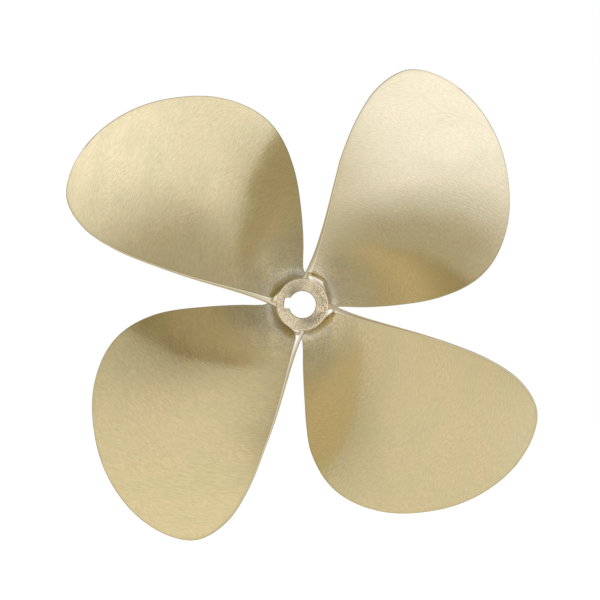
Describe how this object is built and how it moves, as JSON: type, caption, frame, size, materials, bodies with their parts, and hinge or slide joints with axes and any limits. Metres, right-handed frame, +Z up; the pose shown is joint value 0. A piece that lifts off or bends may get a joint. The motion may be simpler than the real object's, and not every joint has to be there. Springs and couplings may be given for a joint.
{
  "type": "boat propeller",
  "caption": "Right-hand fixed-pitch boat propeller in ground bronze: broad skewed blades on a short hub with a keyed, tapered shaft bore.",
  "frame": {"origin": "on the shaft axis, halfway along the hub", "axes": "+Y along the shaft axis, forward towards the boat's bow, so the nut face looks along -Y; +Z up; the key lies near -X"},
  "size_m": [0.533, 0.1165, 0.533],
  "materials": {
    "machined_bronze": "turned end faces with fine concentric tool marks, satin",
    "ground_bronze": "belt-ground and brushed, satin, with fine wavy grinding marks"
  },
  "bodies": {
    "root": {"hub": "machined_bronze", "blade_1": "ground_bronze", "blade_2": "ground_bronze", "blade_3": "ground_bronze", "blade_4": "ground_bronze"}
  },
  "joints": []
}
